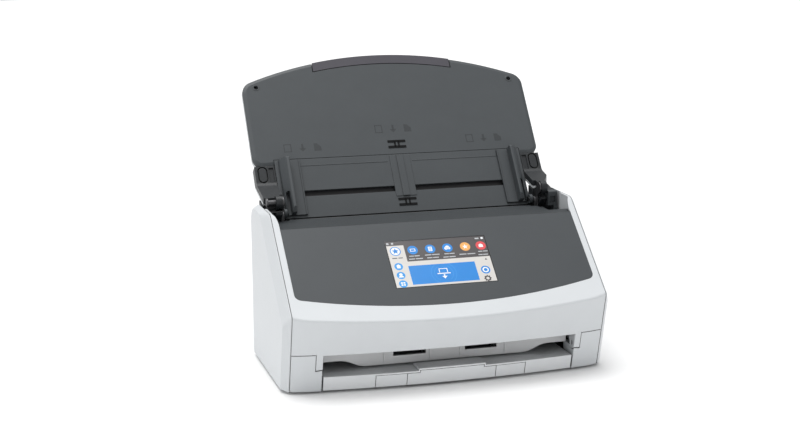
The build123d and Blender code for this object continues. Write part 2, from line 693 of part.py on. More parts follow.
def feed_deck():
    """The deck from the panel's bend to the paper inlet, with the lever's recess at the right."""
    points = [
        slope_yz(PANEL_LENGTH + 0.1, 0), DECK_REAR, (DECK_REAR[0] - 1.2, DECK_REAR[1] - 2.6),
        slope_yz(PANEL_LENGTH + 0.1, -DECK_THICK - 0.4),
    ]
    deck = along_x(outline(points), -SEAM_X, SEAM_X) & trough_plan()
    deck -= both_sides(block(117.3, 142, 43, 77, 115, 145)).solids()
    deck -= block(122.6, 142, 12, 60, 120, 150)
    floor = block(121.6, TROUGH_HALF - 0.6, 10.6, 26, 118, 120)
    wall = block(121.6, 123.0, 10.6, 30, 118, 131.4)
    front = block(121.6, TROUGH_HALF - 0.6, 10.6, 12.0, 118, 131.8)
    return deck + floor + wall + front


def touch_glass():
    return SLOPE * block(-SCREEN_HALF, SCREEN_HALF, SCREEN_LOW, SCREEN_HIGH, -1.2, 0.0)


def display_module():
    body = SLOPE * block(
        -SCREEN_HALF - 3, SCREEN_HALF + 3, SCREEN_LOW - 3, SCREEN_HIGH + 3, -7.5, -DECK_THICK - 0.05
    )
    half, low, high = SCREEN_HALF - 0.2, SCREEN_LOW + 0.2, SCREEN_HIGH - 0.2
    lit = SLOPE * block(-half, half, low, high, -3, -1.25)
    return body + lit


def upper_guide():
    """The cover's half of the paper path, its two side plates and the hinge ears."""
    guide = along_x(path_strip(PAPER_GAP, PAPER_GAP + 2.2, -8.6, LIP_Y - 6), -115.4, 115.4)
    for cutter in roller_windows(BRAKE_AT, BRAKE_R, FEED_ROLLS) + roller_windows(
        PINCH_AT, PINCH_R, EXIT_ROLLS
    ):
        guide -= cutter
    guide -= CHUTE * block(-110.5, 110.5, -68, -54, 1, 12)
    guide -= rod(PINCH_AT[0], PINCH_AT[1], 2.6, -115.5, 115.5)
    plate_points = [
        chute_yz(-9, PAPER_GAP + 0.4), chute_yz(-70, PAPER_GAP + 0.4), chute_yz(-110, PAPER_GAP + 4),
        (-34, 34), (-54, 42), (-70, 62), (0, 122),
    ]
    plate = along_x(outline(plate_points), 115.2, 118.0)
    plate -= rod(BRAKE_AT[0], BRAKE_AT[1], SHAFT_R + 0.05, 110, 120)
    plate -= rod(PINCH_AT[0], PINCH_AT[1], 2.05, 110, 120)
    joined = guide
    for solid in both_sides(plate).solids():
        joined += solid
    return joined + block(-114.8, 114.8, -60, -57.5, 36.8, 41)


def cover_lever():
    """The pull lever that frees the front cover: a broad head with a hollow front, on a stem."""
    side = [(35.4, 131), (35.4, 144.9), (43.4, 144.9), (43.4, 137), (40, 131)]
    head = along_x(outline(side, [(1, 1.5), (2, 2.0)]), 131.4, 140.4)
    hollow = Pos(135.9, 33, 136.6) * Box(5.4, 8, 6.6)
    shank = [(34.6, 116), (35.4, 134), (42.4, 134), (41.6, 116)]
    stem = along_x(outline(shank, [(0, 1.5), (3, 1.5)]), 136.9, 140.4)
    return head - hollow + stem - rod(38.0, 119.0, 1.55, 136, 142)


def lever_pin():
    arm = block(134.6, 136.5, 28, 40, 117.2, 120.8) + rod(38.0, 119.0, 1.5, 134.6, 140.2)
    return arm


# ---------------------------------------------------------------- chute cover
def top_arc_s(x, top=TOP_S, radius=TOP_RADIUS):
    return top - (radius - sqrt(radius**2 - x**2))


def cover_outline(half, top, low_s, corner, low_corner):
    """The chute cover's outline in the paper plane: straight sides under a curved top edge."""
    shoulder = top_arc_s(half, top)
    edges = [
        ThreePointArc((-half, shoulder), (0, top), (half, shoulder)),
        Line((half, shoulder), (half, low_s)),
        Line((half, low_s), (-half, low_s)),
        Line((-half, low_s), (-half, shoulder)),
    ]
    face = make_face(edges)
    face = fillet([v for v in face.vertices() if v.Y > low_s + 5], corner)
    return fillet([v for v in face.vertices() if v.Y < low_s + 0.1], low_corner)


def opened_to_closed(s, n):
    """(Y, Z) of a chute cover point once the cover is closed."""
    turn = radians(CHUTE_TRAVEL_DEG)
    at = chute_yz(s, n)
    y, z = at[0] - CHUTE_HINGE_Y, at[1] - CHUTE_HINGE_Z
    return (
        CHUTE_HINGE_Y + y * cos(turn) - z * sin(turn),
        CHUTE_HINGE_Z + y * sin(turn) + z * cos(turn),
    )


def arm_profile(depth=0.0):
    """(Y, Z) outline of a hinge arm on the closed cover, drawn in from its outer face by depth."""
    flat_top = 153.0 - depth
    line = [opened_to_closed(55.2, 0.0), opened_to_closed(55.2, -SHELL_DEPTH + depth)]
    rise = UPHILL[1] / UPHILL[0]
    bend_y = line[1][0] + (flat_top - line[1][1]) / rise
    under_y = line[0][0] + (145.6 - line[0][1]) / rise
    return [
        (46.2, flat_top), (bend_y, flat_top), line[1], line[0], (under_y, 145.6), (35.5, 145.6),
    ]


def trim_arm(solid):
    """Cut the outer part of an arm back from the hinge, and the inner part back from its bracket."""
    solid -= block(LUG_OUT, 150, 20, ARM_END_Y, 130, 165)
    return solid - block(110, LUG_IN, 20, 51.8, 130, 165)


def lever_clearance():
    """Cutter for the right arm's outer edge, which draws in towards the lever."""
    plan = outline([(LUG_OUT + 0.3, 40), (LUG_OUT + 0.3, 46), (141, 64), (150, 64), (150, 40)])
    return extrude(Pos(0, 0, 130) * plan, amount=40)


def chute_shell():
    """The white outer shell, with a strip down the back of each arm."""
    low_s = 55.2
    roots = []
    body = extrude(
        cover_outline(SHELL_HALF, TOP_S, low_s, 13.0, 9.0), amount=PLATE_DEPTH + 0.3 - SHELL_DEPTH
    )
    body = Pos(0, 0, -PLATE_DEPTH - 0.3) * body
    # the arms run on into the shell's back
    for root in both_sides(block(ARM_IN, ARM_OUT - 2, 50, 62, -20, 0) & body).solids():
        roots.append(root)
    rim = [e for e in body.faces().sort_by(Axis.Z)[0].edges() if e.center().Y > 66]
    body = chamfer(rim, 4.0, 3.0)
    body += roots
    pocket = extrude(
        cover_outline(SHELL_HALF - SHELL_WALL, TOP_S - SHELL_WALL, low_s + 1.6, 11.5, 7.0), amount=20
    )
    body -= Pos(0, 0, -SHELL_DEPTH + SHELL_WALL) * pocket
    body -= block(-HANDLE_HALF - 0.8, HANDLE_HALF + 0.8, 158, 180, -SHELL_DEPTH + SHELL_WALL, 5)
    body -= block(-122.6, 122.6, 50, 60, -SHELL_DEPTH + SHELL_WALL, 5)
    shell = CHUTE * body
    outer = arm_profile()
    inner = arm_profile(SHELL_WALL)
    start = CHUTE_HINGE_Y - 6.4
    strip_points = [
        opened((start, outer[0][1])), opened(outer[1]), chute_yz(low_s + 0.3, -SHELL_DEPTH),
        chute_yz(low_s + 0.3, -SHELL_DEPTH + SHELL_WALL), opened(inner[1]),
        opened((start, inner[0][1])),
    ]
    strip = trim_arm(along_x(outline(strip_points), ARM_IN, ARM_OUT))
    for solid in both_sides(strip).solids():
        shell += solid
    return shell - lever_clearance()


def chute_panel():
    """The dark inner plate of the chute cover, with a rim round its edge and a long bevel."""
    plate = extrude(cover_outline(SHELL_HALF, TOP_S, 55.6, 13.0, 9.0), amount=-PLATE_DEPTH)
    front = plate.faces().sort_by(Axis.Z)[-1].edges()
    plate = chamfer(front, 1.4, 3.4)
    hollow = extrude(
        cover_outline(SHELL_HALF - 5.2, TOP_S - 5.2, 60.0, 9.0, 5.0), amount=-5
    )
    plate -= Pos(0, 0, -2.4) * hollow
    plate -= block(-121.5, 121.5, 40, CHUTE_LENGTH + 0.5, -5, 5)
    plate -= extrude(handle_outline(0.8, 12.0), amount=10, both=True)
    holes = [Pos(x, 139.5, 0) * Cylinder(2.1, 10) for x in (-127.5, 127.5)]
    rims = [Pos(x, 139.5, 0) * Cylinder(3.3, 0.5) for x in (-127.5, 127.5)]
    mark = block(-8.5, 8.5, 68.5, 69.6, -0.1, 0.35) + block(-8.5, 8.5, 74.4, 75.5, -0.1, 0.35)
    mark += block(-0.6, 0.6, 68.5, 75.5, -0.1, 0.35)
    web_low = -SHELL_DEPTH + SHELL_WALL + 0.05
    webs = [block(x - 1, x + 1, 70, 150, web_low, -2.3) for x in (-100, -76, 76, 100)]
    return CHUTE * ((plate + rims + mark + webs) - holes)


def handle_outline(slack=0.0, above=0.0):
    """The pull handle of the chute extension, between two arcs."""
    half = HANDLE_HALF + slack
    top = TOP_S + above
    low = TOP_S - HANDLE_DEPTH - slack
    edge_top = top_arc_s(half, top)
    edge_low = top_arc_s(half, low)
    edges = [
        ThreePointArc((-half, edge_low), (0, low), (half, edge_low)),
        Line((half, edge_low), (half, edge_top)),
        ThreePointArc((half, edge_top), (0, top), (-half, edge_top)),
        Line((-half, edge_top), (-half, edge_low)),
    ]
    return make_face(edges)


def chute_extension():
    """The plate that slides out of the chute cover, with its handle and window."""
    deep = -SHELL_DEPTH + SHELL_WALL + 0.3
    handle = extrude(handle_outline(), amount=deep)
    plate = block(-64, 64, 88, 162, deep, deep + 2.6)
    window = block(-48, 48, 100, 146, deep - 1, deep + 4)
    return CHUTE * (handle + plate - window)


def chute_arm():
    """The right hinge arm, with an oval loop on its face and one lug on the pin."""
    points = [opened(p) for p in arm_profile(SHELL_WALL + 0.05)]
    arm = trim_arm(along_x(outline(points, [(4, 8.0)]), ARM_IN, ARM_OUT))
    arm += rod(CHUTE_HINGE_Y, CHUTE_HINGE_Z, 6.0, LUG_IN, LUG_OUT)
    arm -= rod(CHUTE_HINGE_Y, CHUTE_HINGE_Z, PIN_R + 0.05, 120, 142)
    loop = SlotOverall(17, 9.4, rotation=90) - SlotOverall(14.4, 6.8, rotation=90)
    arm -= CHUTE * extrude(Pos(133.4, 46.4, 0) * loop, amount=2.2, both=True)
    arm -= CHUTE * block(122.8, 127.4, 38, 53.4, -1.2, 5)
    return sorted(arm.solids(), key=lambda solid: solid.volume)[-1]


# ---------------------------------------------------------------- lower chute and side guides
def lower_chute():
    """The folding plate between the inlet and the chute cover."""
    deep = -4.4
    plate = block(-CHUTE_HALF, CHUTE_HALF, 0.5, CHUTE_LENGTH, -2.0, 0.0)
    flange = block(119.6, CHUTE_HALF, 6, 59, deep, -1.9)
    plate += both_sides(flange).solids()
    plate += [block(-CHUTE_HALF, CHUTE_HALF, 57.4, 59, deep, -1.9)]
    plate += [block(-119.6, 119.6, 6, 7.6, deep, -1.9)]
    plate -= both_sides(block(10, 106, SLOT_LOW, SLOT_HIGH, -5, 3)).solids()
    ridge = block(-10, 10, 17, 60, -0.1, 0.5) + block(-3.3, 3.3, 17, 60, 0.4, 1.3)
    step = both_sides(block(12, 97, 53.6, 54.2, -0.1, 0.25))
    mark = block(-8.5, 8.5, 7.4, 8.4, -0.1, 0.35) + block(-8.5, 8.5, 13.2, 14.2, -0.1, 0.35)
    mark += block(-0.6, 0.6, 7.4, 14.2, -0.1, 0.35)
    ear = Pos(119.3, FOLD_S, FOLD_N) * Rot(0, 90, 0) * Cylinder(4.2, 2.8)
    ear += block(117.9, 120.7, 0.6, 7.0, -2, FOLD_N)
    ear -= Pos(119.3, FOLD_S, FOLD_N) * Rot(0, 90, 0) * Cylinder(2.05, 10)
    post = Pos(0, PINION_S, -2.75) * Cylinder(1.5, 1.7)
    body = plate + ridge + step.solids() + mark + post
    for solid in both_sides(ear).solids():
        body += solid
    return CHUTE * body


def chute_back_plate():
    """The plate that closes the back of the lower chute behind the guides' racks."""
    return CHUTE * block(-119.5, 119.5, 7.7, 57.3, -4.4, -3.65)


def rack(side):
    """One side guide's rack: a bar behind the plate, toothed towards the pinion."""
    back, front = -3.45, -2.15
    pitch = pi * PINION_MODULE
    pitch_r = PINION_TEETH * PINION_MODULE / 2
    base = pitch_r + 1.1
    tip, root = pitch_r - 0.8, pitch_r + 0.6
    bar = block(-7, 104, PINION_S + base, PINION_S + base + 2.6, back, front)
    points = [(-0.85, base + 0.2), (-0.85, root), (-0.32, tip)]
    points += [(-x, s) for x, s in reversed(points)]
    solid_tooth = extrude(outline(points), amount=front - back)
    teeth = [Pos((k + 0.5) * pitch, PINION_S, back) * solid_tooth for k in range(-2, 32)]
    link = block(99, 104, SLOT_LOW + 0.6, PINION_S + base + 2.6, back, front)
    stem = block(99, 104, SLOT_LOW + 0.6, SLOT_HIGH - 0.6, back, 0.6)
    part = bar + teeth + link + stem
    return part if side > 0 else Pos(0, 2 * PINION_S, 0) * Rot(0, 0, 180) * part


def side_guide(side):
    """A side guide: base plate, fence with sloping outer face and an arched hook, and its rack."""
    low_s, high_s = 3.0, 60.0
    base = block(GUIDE_IN, GUIDE_OUT, low_s, high_s, 0.3, 1.6)
    lip = block(GUIDE_IN, GUIDE_IN + 1.2, low_s, high_s, 1.5, 2.2)
    points = [
        (FENCE_X, 1.0), (FENCE_X, FENCE_HEIGHT), (FENCE_X + 2.6, FENCE_HEIGHT), (GUIDE_OUT, 3.4),
        (GUIDE_OUT, 1.0),
    ]
    section = outline(points, [(1, 0.8), (2, 3.0), (3, 1.0)])
    up_s = Plane(origin=(0, high_s, 0), x_dir=(1, 0, 0), z_dir=(0, -1, 0))
    fence = extrude(up_s * section, amount=high_s - low_s)
    low_cut = outline([(2, 7.4), (2, 14), (13, 14)])
    high_cut = outline([(61, 8.6), (61, 14), (55, 14)])
    across = Plane(origin=(100, 0, 0), x_dir=(0, 1, 0), z_dir=(1, 0, 0))
    for cut in (low_cut, high_cut):
        fence -= extrude(across * cut, amount=30)
    arch = Pos(114.2, 12, 1.7) * extrude(SlotOverall(26, 3.2, rotation=90), amount=12)
    guide = base + lip + (fence - arch)
    if side < 0:
        guide = mirror(guide, about=Plane.YZ)
    return CHUTE * (guide + rack(side))


def guide_pinion():
    """The pinion that makes both guides move by the same amount."""
    thick = 1.2
    pitch_r = PINION_TEETH * PINION_MODULE / 2
    root, tip = pitch_r - 1.3, pitch_r + 0.7
    gear = Cylinder(root + 0.2, thick)
    tooth = outline([(-0.75, root), (-0.26, tip), (0.26, tip), (0.75, root)])
    for k in range(PINION_TEETH):
        turn = Rot(0, 0, 360 * k / PINION_TEETH)
        gear += turn * Pos(0, 0, -thick / 2) * extrude(tooth, amount=thick)
    return CHUTE * (Pos(0, PINION_S, -2.8) * (gear - Cylinder(1.55, 5)))


# ---------------------------------------------------------------- stacker
def stacker_tray():
    """The outer stacker tray. Its top plate runs across over the two inner trays."""
    low, top, plate = 4.7, STACKER_TOP, 1.5
    body = block(-STACKER_HALF, STACKER_HALF, -120, 30, low, top)
    lip = block(-STACKER_HALF, STACKER_HALF, -120, -61, 2.4, low + 0.1)
    bump = block(-TAB_HALF - 1.6, TAB_HALF + 1.6, -120, -58, top - 0.1, top + TAB_RISE)
    slot = block(-MIDDLE_HALF - TRAY_GAP, MIDDLE_HALF + TRAY_GAP, -120, 26, low + 1.6, top - plate)
    lip_cut = block(-MIDDLE_HALF - TRAY_GAP, MIDDLE_HALF + TRAY_GAP, -120, -50, 0, low)
    step = block(-MIDDLE_HALF - TRAY_GAP, MIDDLE_HALF + TRAY_GAP, -120, -66, 0, low + 3)
    bump_cut = block(
        -TAB_HALF - TRAY_GAP, TAB_HALF + TRAY_GAP, -120, -60, low + 3, top + TAB_RISE - plate
    )
    tray = (body + lip + bump) & FRONT
    tray = tray - slot - lip_cut - step - bump_cut
    wells = both_sides(block(MIDDLE_HALF + 3, STACKER_HALF - 2.4, -58, 27, 0, top - 2.2))
    return tray - wells.solids()


def stacker_middle():
    low, top = 6.6, STACKER_TOP - 1.85
    body = block(-MIDDLE_HALF, MIDDLE_HALF, -120, 22, low, top)
    lip = block(-MIDDLE_HALF, MIDDLE_HALF, -120, -66.4, 2.4, low + 0.1)
    channel = block(-TIP_HALF - TRAY_GAP, TIP_HALF + TRAY_GAP, -120, 30, low + 1.6, top + 1)
    set_back = block(-TIP_HALF - TRAY_GAP, TIP_HALF + TRAY_GAP, -120, -69.0, 0, low + 3)
    lip_cut = block(-TIP_HALF - TRAY_GAP, TIP_HALF + TRAY_GAP, -120, -60, 0, low)
    tray = (body + lip) & FRONT
    return tray - channel - set_back - lip_cut


def stacker_tip():
    """The stacker's innermost tray. Its raised front is the pull for all three."""
    low, top = 8.5, STACKER_TOP - 1.95
    body = block(-TIP_HALF, TIP_HALF, -120, 14, low, top)
    lip = block(-TIP_HALF, TIP_HALF, -120, -69.4, 2.4, low + 0.1)
    tab = block(-TAB_HALF, TAB_HALF, -120, -66.5, top - 0.1, STACKER_TOP + TAB_RISE - 1.9)
    return (body + lip + tab) & FRONT


# ---------------------------------------------------------------- all the pieces
def pieces():
    right = {
        "right_side_cover": side_cover(),
        "right_front_post": front_post(),
        "right_frame": side_frame(),
        "right_hinge_arm": chute_arm(),
    }
    feed_pulleys = [x for x, _, _ in BELT_AT]
    made = dict(right)
    for name, solid in right.items():
        made[name.replace("right", "left")] = mirror(solid, about=Plane.YZ)
    made.update(
        base_pan=base_pan(),
        rubber_feet=rubber_feet(),
        rear_cover=rear_cover(),
        cover_hinge_pins=cover_hinge_pins(),
        lower_guide=lower_guide(),
        exit_guide=exit_guide(),
        roller_bearings=roller_bearings(),
        hinge_brackets=hinge_brackets(),
        hinge_housings=hinge_housings(),
        lower_scan_unit=lower_scan_unit(),
        lower_scan_glass=lower_scan_glass(),
        main_board=main_board(),
        board_parts=board_parts(),
        power_inlet=power_inlet(),
        data_socket=data_socket(),
        motor=motor(),
        drive_belts=drive_belts(),
        case_screws=case_screws(),
        motor_pulley=motor_pulley(),
        pick_shaft=driven_shaft(PICK_AT, [BELT_AT[1][0]]),
        pick_tyres=roller_tyres(PICK_AT, PICK_R, FEED_ROLLS),
        feed_shaft=driven_shaft(FEED_AT, feed_pulleys),
        feed_tyres=roller_tyres(FEED_AT, FEED_R, FEED_ROLLS),
        exit_shaft=driven_shaft(EXIT_AT, [BELT_AT[2][0]]),
        exit_tyres=roller_tyres(EXIT_AT, EXIT_R, EXIT_ROLLS),
        front_cover_shell=front_cover_shell(),
        control_panel=control_panel(),
        feed_deck=feed_deck(),
        touch_glass=touch_glass(),
        display_module=display_module(),
        upper_guide=upper_guide(),
        upper_scan_unit=upper_scan_unit(),
        upper_scan_glass=upper_scan_glass(),
        lever_pin=lever_pin(),
        cover_lever=cover_lever(),
        brake_shaft=rod(BRAKE_AT[0], BRAKE_AT[1], SHAFT_R, -119, 119),
        brake_tyres=roller_tyres(BRAKE_AT, BRAKE_R, FEED_ROLLS),
        pinch_shaft=rod(PINCH_AT[0], PINCH_AT[1], 2.0, -119, 119),
        pinch_tyres=pinch_tyres(),
        chute_shell=chute_shell(),
        chute_panel=chute_panel(),
        chute_extension=chute_extension(),
        lower_chute=lower_chute(),
        chute_back_plate=chute_back_plate(),
        left_side_guide=side_guide(-1),
        right_side_guide=side_guide(1),
        guide_pinion=guide_pinion(),
        stacker_tray=stacker_tray(),
        stacker_middle=stacker_middle(),
        stacker_tip=stacker_tip(),
    )
    made["right_hinge_arm"] = right["right_hinge_arm"] - lever_clearance()
    return made


def main():
    os.makedirs("parts", exist_ok=True)
    for name, shape in pieces().items():
        export_step(Compound(list((OUT * shape).solids())), f"parts/{name}.step")


main()
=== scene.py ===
"""Looks for the sheet fed document scanner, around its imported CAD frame."""

import json
from math import cos, pi, radians, sin, sqrt

import bmesh
import bpy
from mathutils import Matrix, Vector


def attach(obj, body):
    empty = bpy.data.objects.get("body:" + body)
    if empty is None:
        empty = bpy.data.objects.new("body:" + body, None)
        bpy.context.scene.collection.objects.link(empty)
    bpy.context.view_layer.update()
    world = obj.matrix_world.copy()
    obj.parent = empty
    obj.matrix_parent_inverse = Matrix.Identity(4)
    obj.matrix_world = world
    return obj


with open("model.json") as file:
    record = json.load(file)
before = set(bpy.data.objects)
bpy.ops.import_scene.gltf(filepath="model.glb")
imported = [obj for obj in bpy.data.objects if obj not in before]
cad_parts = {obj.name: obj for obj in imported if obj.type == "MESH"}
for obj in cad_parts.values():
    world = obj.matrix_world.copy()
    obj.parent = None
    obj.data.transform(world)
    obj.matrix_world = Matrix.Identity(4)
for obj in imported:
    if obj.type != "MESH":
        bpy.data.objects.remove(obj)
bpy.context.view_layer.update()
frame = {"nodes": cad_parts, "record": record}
nodes = frame["nodes"]
MM = 0.001
SCENE = bpy.context.scene

# ---------------------------------------------------------------- planes the details lie on
# The details' places are in the case's own millimetres, whose origin lies ORIGIN_Y in front of the
# frame's.
ORIGIN_Y = 37.99
NOSE, SLOPE_ANGLE = (-78.0, 71.8), radians(40.5)  # y and z where the front's slope starts
INLET, CHUTE_ANGLE = (53.8, 129.4), radians(53.3)  # y and z where the paper's way meets the deck


def plane_matrix(foot, angle):
    """Local x, distance up the plane and height above it, in millimetres, to metres."""
    y, z = foot
    up = Vector((0, cos(angle), sin(angle)))
    out = Vector((0, -sin(angle), cos(angle)))
    turn = Matrix((Vector((1, 0, 0)), up, out)).transposed().to_4x4()
    place = Matrix.Translation(Vector((0, (y - ORIGIN_Y), z)) * MM)
    return place @ turn @ Matrix.Scale(MM, 4)


SLOPE = plane_matrix(NOSE, SLOPE_ANGLE)
CHUTE = plane_matrix(INLET, CHUTE_ANGLE)
LEVEL = plane_matrix((0, 0), 0)

# ---------------------------------------------------------------- materials
EDGE_LIFT = 0.35  # painted highlight and wear: how much paler than its material an edge is
SEAM_SHADE = 0.08  # painted shade: how much of its material's colour a narrow joint or inner corner keeps
GLOSS_SPREAD = 0.06  # how far the grain takes the roughness up and down


def add_node(tree, kind, **inputs):
    """A new node, with its inputs set by name."""
    made = tree.nodes.new(kind)
    for key, value in inputs.items():
        made.inputs[key.replace("_", " ")].default_value = value
    return made


def noise(tree, place, **inputs):
    """A noise texture in the object's own coordinates."""
    made = add_node(tree, "ShaderNodeTexNoise", **inputs)
    tree.links.new(place, made.inputs["Vector"])
    return made.outputs["Fac"]


def ramp(tree, source, low, high, start=0.3, end=0.7):
    """A value that goes from low to high while its source goes from start to end."""
    made = add_node(
        tree, "ShaderNodeMapRange", From_Min=start, From_Max=end, To_Min=low, To_Max=high
    )
    tree.links.new(source, made.inputs["Value"])
    return made.outputs["Result"]


def blend(tree, factor, first, second):
    """A blend of two colours, each a plain colour or another node's output."""
    made = tree.nodes.new("ShaderNodeMix")
    made.data_type = "RGBA"
    tree.links.new(factor, made.inputs["Factor"])
    for socket, colour in (("A", first), ("B", second)):
        if isinstance(colour, tuple):
            made.inputs[socket].default_value = (*colour, 1)
        else:
            tree.links.new(colour, made.inputs[socket])
    return made.outputs["Result"]


def scaled(colour, factor):
    return tuple(min(1.0, c * factor) for c in colour)


def mottled(tree, mottle, colour, vary):
    """The colour, a little darker and lighter in soft patches."""
    patches = ramp(tree, mottle, 0.0, 1.0)
    return blend(tree, patches, scaled(colour, 1 - vary), scaled(colour, 1 + vary))


def new_material(name):
    """A node material with its shader and its object coordinates."""
    made = bpy.data.materials.new(name)
    made.use_nodes = True
    tree = made.node_tree
    place = tree.nodes.new("ShaderNodeTexCoord").outputs["Object"]
    return made, tree, tree.nodes["Principled BSDF"], place


def edge_highlight_and_wear(tree, rounded, highlight_and_wear):
    """How much painted highlight and wear a point gets: where the rounded normal leaves the true
    one.
    """
    shape = tree.nodes.new("ShaderNodeNewGeometry")
    match = tree.nodes.new("ShaderNodeVectorMath")
    match.operation = "DOT_PRODUCT"
    tree.links.new(rounded, match.inputs[0])
    tree.links.new(shape.outputs["Normal"], match.inputs[1])
    return ramp(tree, match.outputs["Value"], highlight_and_wear, 0.0, start=0.8, end=0.995)


def painted_seam_shade(tree, colour, paint, distance):
    """The paint, with painted shade making it nearly black in joints and inner corners narrower than
    the distance.
    """
    hollow = add_node(tree, "ShaderNodeAmbientOcclusion", Distance=distance * MM)
    hollow.samples = 6
    openness = ramp(tree, hollow.outputs["AO"], 0.0, 1.0, start=0.2, end=0.75)
    return blend(tree, openness, scaled(colour, SEAM_SHADE), paint)


def moulded(
    name, colour, roughness, grain=0.12, cells=2600.0, vary=0.05, edge=0.35, highlight_and_wear=0.05,
    specular=0.5, metallic=0.0, coat=0.0, seam_shade_width=0.0,
):
    """Moulded plastic or metal: fine grain, slight mottling and softly rounded edges, painted paler
    as highlight and wear.

    Grain, edge radius and the width of the painted seam shade are in millimetres; without that
    width, joints and inner corners get no painted shade.
    """
    made, tree, shader, place = new_material(name)
    shader.inputs["Specular IOR Level"].default_value = specular
    shader.inputs["Metallic"].default_value = metallic
    shader.inputs["Coat Weight"].default_value = coat
    shader.inputs["Coat Roughness"].default_value = 0.12
    mottle = noise(tree, place, Scale=38.0, Detail=4.0, Roughness=0.6)
    grainy = noise(tree, place, Scale=cells, Detail=2.0, Roughness=0.5)
    soft = add_node(tree, "ShaderNodeBevel", Radius=edge * MM)
    soft.samples = 4
    rounded = soft.outputs["Normal"]

    # painted highlight and wear: rounded edges turn paler than the material
    pale = tuple(min(1.0, c + EDGE_LIFT) for c in colour)
    highlight_and_wear_mask = edge_highlight_and_wear(tree, rounded, highlight_and_wear)
    paint = blend(tree, highlight_and_wear_mask, mottled(tree, mottle, colour, vary), pale)
    # painted shade: joints and inner corners darkened through ambient occlusion
    if seam_shade_width:
        paint = painted_seam_shade(tree, colour, paint, seam_shade_width)
    tree.links.new(paint, shader.inputs["Base Color"])
    rough = ramp(tree, grainy, roughness - GLOSS_SPREAD, roughness + GLOSS_SPREAD)
    tree.links.new(rough, shader.inputs["Roughness"])

    bump = add_node(tree, "ShaderNodeBump", Distance=grain * MM, Strength=0.5)
    tree.links.new(grainy, bump.inputs["Height"])
    tree.links.new(rounded, bump.inputs["Normal"])
    tree.links.new(bump.outputs["Normal"], shader.inputs["Normal"])
    return made


def brushed(name, colour, roughness):
    """Metal with fine lines along X."""
    made = moulded(name, colour, roughness, metallic=1.0, vary=0.06, highlight_and_wear=0.1, cells=900.0)
    tree = made.node_tree
    stretch = add_node(tree, "ShaderNodeMapping", Scale=(60.0, 4200.0, 4200.0))
    coords = tree.nodes.new("ShaderNodeTexCoord")
    tree.links.new(coords.outputs["Object"], stretch.inputs["Vector"])
    lines = noise(tree, stretch.outputs["Vector"], Scale=1.0, Detail=3.0)
    bump = next(n for n in tree.nodes if n.type == "BUMP")
    tree.links.new(lines, bump.inputs["Height"])
    return made


def rubber(name, colour):
    """Matt rubber with a coarse grain and a faint sheen."""
    made = moulded(name, colour, 0.82, grain=0.3, cells=1400.0, vary=0.12, highlight_and_wear=0.04)
    made.node_tree.nodes["Principled BSDF"].inputs["Sheen Weight"].default_value = 0.15
    return made


def lit(name, colour, strength):
    """A lit area of the screen, very slightly uneven, under its gloss."""
    made, tree, shader, place = new_material(name)
    shader.inputs["Roughness"].default_value = 0.22
    shader.inputs["Emission Strength"].default_value = strength
    mottle = noise(tree, place, Scale=60.0, Detail=2.0)
    shade = mottled(tree, mottle, colour, vary=0.03)
    tree.links.new(shade, shader.inputs["Base Color"])
    tree.links.new(shade, shader.inputs["Emission Color"])
    return made


WHITE = moulded("white_shell", (0.655, 0.68, 0.70), 0.42, vary=0.012, highlight_and_wear=0.3, edge=0.6, seam_shade_width=2.2)
TRAY = moulded("tray_white", (0.78, 0.80, 0.815), 0.45, vary=0.015, highlight_and_wear=0.3, edge=0.45, seam_shade_width=2.2)
PANEL = moulded("panel_grey", (0.043, 0.050, 0.056), 0.5, vary=0.03, edge=0.45, seam_shade_width=1.8)
DECK = moulded("deck_grey", (0.031, 0.037, 0.041), 0.55, vary=0.04, edge=0.45, seam_shade_width=1.8)
CHUTE_GREY = moulded("chute_grey", (0.059, 0.067, 0.073), 0.52, vary=0.04, edge=0.45, seam_shade_width=1.8)
HANDLE = moulded("handle_grey", (0.066, 0.063, 0.077), 0.5, vary=0.04, edge=0.45, seam_shade_width=1.8)
ARM_GREY = moulded("arm_grey", (0.017, 0.020, 0.023), 0.46, vary=0.06, edge=0.5, highlight_and_wear=0.12, seam_shade_width=1.8)
PALE = moulded("pale_grey", (0.74, 0.75, 0.76), 0.5, vary=0.03, highlight_and_wear=0.15)
INNER = moulded("inner_grey", (0.13, 0.135, 0.14), 0.6, vary=0.06)
BLACK = moulded("black_plastic", (0.018, 0.018, 0.02), 0.5, vary=0.1)
BOARD = moulded("circuit_green", (0.03, 0.16, 0.08), 0.4, vary=0.15, highlight_and_wear=0.0)
STEEL = brushed("steel", (0.42, 0.42, 0.44), 0.4)
ZINC = brushed("zinc_plate", (0.13, 0.13, 0.135), 0.5)
MOTOR = moulded("motor_black", (0.05, 0.05, 0.055), 0.38, metallic=0.4, vary=0.1)
TYRE = rubber("roller_rubber", (0.06, 0.06, 0.066))
FOOT = rubber("foot_rubber", (0.035, 0.035, 0.04))
SCREEN = moulded("screen_cover", (0.02, 0.021, 0.024), 0.12, grain=0.01, highlight_and_wear=0.1, coat=0.6)
GLASS = moulded("scan_glass", (0.55, 0.66, 0.64), 0.1, grain=0.01, vary=0.02, highlight_and_wear=0.2, coat=0.5)
# near black: the moulded marks, and also the painted shadow strips in the front joints
MARK_AND_SEAM_SHADOW = moulded("mark_and_seam_shadow", (0.004, 0.0045, 0.005), 0.7, vary=0.1, highlight_and_wear=0.0, specular=0.2)
FAINT = moulded("faint_mark", (0.036, 0.041, 0.045), 0.5, highlight_and_wear=0.0)
FLOOR = moulded("floor_white", (0.93, 0.93, 0.93), 0.8, vary=0.003, highlight_and_wear=0.0)

